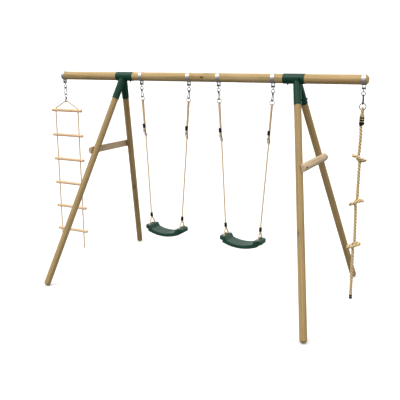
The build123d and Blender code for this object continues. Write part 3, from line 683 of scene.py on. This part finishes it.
def make_poles():
    slant = LEG_LEAN.length
    spread = math.hypot(LEG_LEAN.x, LEG_LEAN.y)
    leg_length = (BEAM_Z - (LEG_R - LEG_BEVEL) * spread / slant) * slant / 2.0
    beam = pole("beam_pole", Vector((BEAM_LEFT + SHIFT_X, 0, BEAM_Z)),
                Vector((BEAM_RIGHT + SHIFT_X, 0, BEAM_Z)), BEAM_R, (HIDDEN_BEVEL, BEAM_BEVEL),
                wood_material("wood_beam", BEAM_WOOD, 1.3, 0.75, mark=BEAM_MARK), "frame", "beam", 3)
    for index, (end, side) in enumerate(((-1, -1), (1, -1), (-1, 1), (1, 1))):
        place = f"{'front' if end < 0 else 'rear'}_{'left' if side < 0 else 'right'}"
        wood = wood_material("wood_leg_" + place, LEG_WOOD, 2.1 + index * 1.37, 0.8)
        leg = pole("leg_" + place + "_pole", leg_end(side, end, LEG_START), leg_end(side, end, leg_length),
                   LEG_R, (HIDDEN_BEVEL, LEG_BEVEL), wood, "frame", "leg_" + place, 11 + index)


BRACE_ARC = 28
ARRIS = 0.0015


def half_round(radius):
    """The outline of half a pole with a softened arris, as (outward, downward) pairs."""
    angles = [math.pi * i / BRACE_ARC for i in range(1, BRACE_ARC)]
    arc = [(radius * math.sin(angle), radius * math.cos(angle)) for angle in angles]
    outline = [(ARRIS, radius * 0.998), *arc, (ARRIS, -radius * 0.998)]
    return outline + [(0.0, -radius + 0.002), (0.0, radius - 0.002)]


def make_brace(side, material):
    """A half-round pole with bevelled square ends; its own Z runs along it."""
    side_name = "left" if side < 0 else "right"
    down = Vector((side * LEG_LEAN.x, 0, LEG_LEAN.z)).normalized()
    out = Vector((side * 2.0, 0, LEG_LEAN.x)).normalized()
    top = Vector((side * LEG_TOP_X + SHIFT_X, 0, BEAM_Z))
    origin = top + down * BRACE_DROP + out * (LEG_R + BRACE_GAP)
    straight = BRACE_HALF_LENGTH - BRACE_BEVEL
    places = [(-BRACE_HALF_LENGTH, BRACE_R - BRACE_BEVEL)]
    places += [(straight * (i / 12 - 1), BRACE_R) for i in range(25)]
    places.append((BRACE_HALF_LENGTH, BRACE_R - BRACE_BEVEL))
    verts = []
    for along, radius in places:
        outline = half_round(radius)
        verts += [Vector((outward, downward, along)) for outward, downward in outline]
    obj = mesh_object("brace_pole_" + side_name, verts, skin_faces(len(places), len(outline)), material)
    smooth_by_angle(obj, 24.0)
    turn = Matrix((
        (out.x, down.x, 0.0, origin.x),
        (out.y, down.y, 1.0, origin.y),
        (out.z, down.z, 0.0, origin.z),
        (0.0, 0.0, 0.0, 1.0),
    ))
    if turn.determinant() < 0:
        obj.data.flip_normals()
    obj.matrix_world = turn
    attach(obj, "frame")
    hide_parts("brace_" + side_name)


def make_braces():
    for index, side in enumerate((-1, 1)):
        make_brace(side, wood_material(f"wood_brace_{index}", BRACE_WOOD, 6.2 + index * 2.1, 0.35))


def make_rungs():
    wood = wood_material("wood_rung", RUNG_WOOD, 9.4, 0.0, 0.6)
    low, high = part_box("ladder_rungs")
    spacing = (high.z - low.z - 2 * RUNG_R) / (RUNG_COUNT - 1)
    for i in range(RUNG_COUNT):
        z = low.z + RUNG_R + i * spacing
        rung = pole(f"rung_{i + 1}", Vector((low.x, 0.0, z)), Vector((high.x, 0.0, z)), RUNG_R,
                    (RUNG_BEVEL, RUNG_BEVEL), wood, "ladder", "ladder_rungs", 40 + i)


# ---------------------------------------------------------------- seats
# along half a seat from its middle, with heights above its lowest point
PAN_HALF = 0.129  # the hollow that is sat in
PAN_Z = 0.036
PAN_RISE = 0.024
BLOCK_START = 0.150  # the raised block that the rope goes through
BLOCK_END = 0.206
BLOCK_Z = 0.096
UNDER_HALF = 0.178  # the curve underneath
UNDER_RISE = 0.036
UNDER_STEP = 0.014  # beyond it the underside steps up, then slopes to the end
UNDER_STEP_RUN = 0.006
UNDER_SLOPE = 0.2
# half the seat's depth
PAN_DEPTH = 0.082
PAN_DEPTH_LOSS = 0.0015
NARROW_FROM = 0.176
NARROW_TO = 0.182
EAR_DEPTH = 0.064
EAR_TAPER = 0.002
EAR_ROUND = 0.003
# the section and its stations
CORNER_R = 0.006
CORNER_STEPS = 5
TOP_STEPS = 48
UNDER_STEPS = 12
GROOVE_COUNT = 6
GROOVE_DEPTH = 0.0011
GROOVE_END = 0.118
GROOVE_FADE = 0.006
STATION = 0.002
EXTRA_STATIONS = [0.175 + STATION * i for i in range(6)]  # where the seat narrows
END_STEPS = 8
END_SWELL = 0.007  # length of the rounding at either end
END_WIDTH = 0.89
END_HEIGHT = 0.74


def eased(t):
    return t * t * (3 - 2 * t)


def sag(x, half, rise):
    """How far a circle's arc of that half width and rise has risen at x."""
    radius = (half**2 + rise**2) / (2 * rise)
    return radius - math.sqrt(radius**2 - min(x, half)**2)


def seat_heights(x):
    """Lower and upper surface of a seat at a distance from its middle, in metres above its lowest point."""
    u = abs(x)
    rim = PAN_Z + PAN_RISE
    if u <= PAN_HALF:
        upper = PAN_Z + sag(u, PAN_HALF, PAN_RISE)
    elif u <= BLOCK_START:
        t = (u - PAN_HALF) / (BLOCK_START - PAN_HALF)
        upper = rim + (BLOCK_Z - rim) * (eased(t) * 0.35 + t * 0.65)
    elif u <= BLOCK_END:
        upper = BLOCK_Z
    else:
        fall = SEAT_HALF_LENGTH - BLOCK_END
        upper = BLOCK_Z - fall * ((u - BLOCK_END) / fall)**2
    lower = sag(u, UNDER_HALF, UNDER_RISE)
    if u > UNDER_HALF:
        past = u - UNDER_HALF
        lower += UNDER_STEP * min(1.0, past / UNDER_STEP_RUN) + UNDER_SLOPE * max(0.0, past - UNDER_STEP_RUN)
    return lower, upper


def seat_half_depth(x):
    u = abs(x)
    pan_end = PAN_DEPTH - PAN_DEPTH_LOSS
    if u <= NARROW_FROM:
        return PAN_DEPTH - PAN_DEPTH_LOSS * (u / NARROW_FROM)**2
    if u <= NARROW_TO:
        return pan_end - (pan_end - EAR_DEPTH) * eased((u - NARROW_FROM) / (NARROW_TO - NARROW_FROM))
    t = min(1.0, (u - NARROW_TO) / (SEAT_HALF_LENGTH - NARROW_TO))
    return EAR_DEPTH - EAR_TAPER * t - EAR_ROUND * t**12


def seat_section(x):
    """Closed outline (y, z) of the seat across its depth, with shallow grooves along the pan."""
    lower, upper = seat_heights(x)
    half = seat_half_depth(x)
    corner = min(CORNER_R, (upper - lower) * 0.45)
    flat = half - corner
    fade = max(0.0, min(1.0, (GROOVE_END - abs(x)) / GROOVE_FADE))
    points = []
    for centre_y, centre_z, start in ((flat, upper - corner, 0.0), (-flat, upper - corner, 90.0),
                                      (-flat, lower + corner, 180.0), (flat, lower + corner, 270.0)):
        for i in range(CORNER_STEPS + 1):
            angle = math.radians(start + 90.0 * i / CORNER_STEPS)
            points.append((centre_y + corner * math.cos(angle), centre_z + corner * math.sin(angle)))
        if start == 0.0:
            for i in range(1, TOP_STEPS):
                wave = 0.5 - 0.5 * math.cos(2 * math.pi * GROOVE_COUNT * i / TOP_STEPS)
                points.append((flat - 2 * flat * i / TOP_STEPS, upper - GROOVE_DEPTH * fade * wave**6))
        if start == 180.0:
            for i in range(1, UNDER_STEPS):
                points.append((-flat + 2 * flat * i / UNDER_STEPS, lower))
    return points


def seat_stations():
    """(distance along the seat, swell) pairs; swell goes from 0 at either end to 1."""
    ends = []
    for i in range(END_STEPS):
        angle = i / END_STEPS * math.pi / 2
        ends.append((-SEAT_HALF_LENGTH + END_SWELL * (1 - math.cos(angle)), math.sin(angle)))
    straight = SEAT_HALF_LENGTH - END_SWELL
    inner = [STATION * i - straight for i in range(round(2 * straight / STATION) + 1)]
    inner = sorted(inner + [side * x for side in (-1, 1) for x in EXTRA_STATIONS])
    return ends + [(x, 1.0) for x in inner] + [(-x, swell) for x, swell in reversed(ends)]


def seat_mesh(name, centre_x, material):
    stations = seat_stations()
    verts = []
    for x, swell in stations:
        section = seat_section(x)
        mid_z = sum(seat_heights(x)) / 2
        shrink_y = END_WIDTH + (1 - END_WIDTH) * swell
        shrink_z = END_HEIGHT + (1 - END_HEIGHT) * swell
        for y, z in section:
            verts.append((centre_x + x, y * shrink_y, SEAT_BOTTOM_Z + mid_z + (z - mid_z) * shrink_z))
    return mesh_object(name, verts, skin_faces(len(stations), len(section), clockwise=True), material)


# (height, radius) of the raised rim round a rope hole
RIM_PROFILE = [(0.0, 0.0095), (0.0012, 0.0092), (0.0018, 0.0084), (0.0018, 0.0060), (0.0002, 0.0055)]
RIM_SUNK = 0.0008
RIM_SEGMENTS = 28


def make_seats():
    plastic = paint_material("seat_plastic", (0.012, 0.064, 0.040), (0.009, 0.052, 0.032), 0.36, 500.0,
                             0.0003)
    rim_plastic = paint_material("seat_rim", (0.012, 0.045, 0.028), (0.010, 0.038, 0.022), 0.4, 500.0,
                                 0.0003)
    for side, side_name in ((-1, "left"), (1, "right")):
        centre_x = side * SWING_X + SHIFT_X
        seat = seat_mesh(f"seat_{side_name}", centre_x, plastic)
        smooth_by_angle(seat, 40.0)
        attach(seat, f"swing_{side_name}")
        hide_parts(f"swing_seat_{side_name}")
        for hand in (-1, 1):
            for end in (-1, 1):
                x = centre_x + hand * SEAT_HOLE.x
                rim = lathe(f"seat_rim_{side_name}_{hand + 1}{end + 1}", RIM_PROFILE, rim_plastic,
                            RIM_SEGMENTS)
                rim.matrix_world = Matrix.Translation((x, end * SEAT_HOLE.y, SEAT_TOP_Z - RIM_SUNK))
                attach(rim, f"swing_{side_name}")


# ---------------------------------------------------------------- black sleeves
SLEEVE_ROWS = 25
SLEEVE_SEGMENTS = 36
SLEEVE_WAIST = 0.10
SLEEVE_LIP = 0.14


def barrel_sleeve(name, centre, down, material, body, node):
    """A two-lobed plastic sleeve: an oval barrel with a waist and a lip at each end."""
    along_y = Vector((0, 1, 0))
    across = along_y.cross(down).normalized()
    verts = []
    for row in range(SLEEVE_ROWS):
        t = row / (SLEEVE_ROWS - 1)
        lobes = 1.0 - SLEEVE_WAIST * (1.0 - abs(math.sin(2 * math.pi * t))**0.7)
        lip = 1.0 - SLEEVE_LIP * math.exp(-((t * (1 - t)) / 0.02)**2)
        size = lobes * lip
        middle = centre + down * ((t - 0.5) * CLIP_HEIGHT)
        for i in range(SLEEVE_SEGMENTS):
            angle = 2 * math.pi * i / SLEEVE_SEGMENTS
            verts.append(middle + along_y * (CLIP_HALF_Y * size * math.cos(angle))
                         + across * (CLIP_HALF_X * size * math.sin(angle)))
    obj = mesh_object(name, verts, skin_faces(SLEEVE_ROWS, SLEEVE_SEGMENTS, clockwise=True), material)
    smooth_by_angle(obj, 50.0)
    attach(obj, body)
    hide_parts(node)


def make_sleeves(material):
    for side, side_name in ((-1, "left"), (1, "right")):
        for hand, hand_name in ((-1, "a"), (1, "b")):
            for y, at, label in ((EYE_Y, CLIP_AT, "upper"), (0.0, LOWER_CLIP_AT, "lower")):
                centre = swing_place(side * SWING_X, hand, y, at) + Vector((SHIFT_X, 0, 0))
                _, down = swing_line(side * SWING_X, hand)
                barrel_sleeve(f"sleeve_{label}_{side_name}_{hand_name}", centre, down, material,
                              f"swing_{side_name}", f"swing_clips_{side_name}")


# ---------------------------------------------------------------- CAD nodes that stay
def dress(names, material):
    for name in names:
        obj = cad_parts[name]
        obj.data.materials.clear()
        obj.data.materials.append(material)
        obj.data.polygons.foreach_set("material_index", [0] * len(obj.data.polygons))


def dress_cad():
    green = paint_material("green_powder_coat", (0.0070, 0.058, 0.033), (0.0055, 0.049, 0.027), 0.32,
                           700.0, 0.0002, specular=0.22)
    steel = steel_material("zinc_steel", 0.64, 0.38)
    link_steel = steel_material("link_steel", 0.055, 0.24)
    black_steel = paint_material("black_screw", (0.006, 0.006, 0.006), (0.004, 0.004, 0.004), 0.7,
                                 900.0, 0.0002, specular=0.08)
    black = paint_material("black_plastic", (0.007, 0.007, 0.007), (0.004, 0.004, 0.004), 0.45,
                           800.0, 0.0003, specular=0.2)
    dress(["bracket_left", "bracket_right"], green)
    dress(["hanger_bands", "hanger_bolts", "hanger_nuts"], steel)
    link_words = ("eye", "hook", "gate", "ring", "adjuster", "swivel", "pins")
    dress([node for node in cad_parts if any(word in node for word in link_words)], link_steel)
    dress(["bracket_screws", "brace_screws"], black_steel)
    dress(["climb_clips", "climb_end_bands"], black)
    make_sleeves(black)


# ---------------------------------------------------------------- stage and light
def make_sun(name, energy, spread, colour, direction):
    data = bpy.data.lights.new(name, "SUN")
    data.energy = energy
    data.angle = math.radians(spread)
    data.color = colour
    sun = bpy.data.objects.new(name, data)
    sun.rotation_euler = direction.to_track_quat("-Z", "Y").to_euler()
    bpy.context.scene.collection.objects.link(sun)


FLOOR_SIZE = 400.0
FLOOR_GAP = 0.0005
# the studio's light from straight below (0) over the horizon (0.5) to straight above (1)
SKY = [
    (0.0, (0.195, 0.196, 0.212)), (0.44, (0.195, 0.196, 0.212)), (0.485, (1.05, 1.05, 1.05)),
    (0.56, (1.05, 1.05, 1.05)), (0.60, (0.34, 0.34, 0.34)), (0.70, (0.36, 0.36, 0.36)),
    (0.79, (1.45, 1.44, 1.41)), (1.0, (1.55, 1.54, 1.50)),
]


def make_floor():
    corners = [(x * FLOOR_SIZE, y * FLOOR_SIZE, 0) for x, y in ((-1, -1), (1, -1), (1, 1), (-1, 1))]
    floor = mesh_object("floor", corners, [(0, 1, 2, 3)], floor_material(), smooth=False)
    floor.location.z = -FLOOR_GAP
    floor.visible_diffuse = False
    floor.visible_glossy = False


def make_sky():
    world = bpy.data.worlds.new("studio")
    bpy.context.scene.world = world
    world.use_nodes = True
    tree = world.node_tree
    where = tree.nodes.new("ShaderNodeTexCoord")
    split = tree.nodes.new("ShaderNodeSeparateXYZ")
    tree.links.new(where.outputs["Generated"], split.inputs[0])
    height = tree.nodes.new("ShaderNodeMapRange")
    height.inputs["From Min"].default_value = -1.0
    height.inputs["From Max"].default_value = 1.0
    tree.links.new(split.outputs["Z"], height.inputs["Value"])
    background = tree.nodes["Background"]
    tree.links.new(ramp(tree, height.outputs[0], SKY), background.inputs["Color"])
    background.inputs["Strength"].default_value = 1.0


def make_stage():
    make_floor()
    make_sky()
    make_sun("key", 0.85, 14.0, (1.0, 0.955, 0.88), Vector((0.50, 0.62, -0.95)))
    make_sun("fill", 0.14, 40.0, (1.0, 0.98, 0.95), Vector((-0.62, 0.50, -0.30)))
    bpy.context.scene.view_settings.view_transform = "Standard"


make_camera()
make_all_ropes()
make_poles()
make_braces()
make_rungs()
make_seats()
dress_cad()
make_stage()
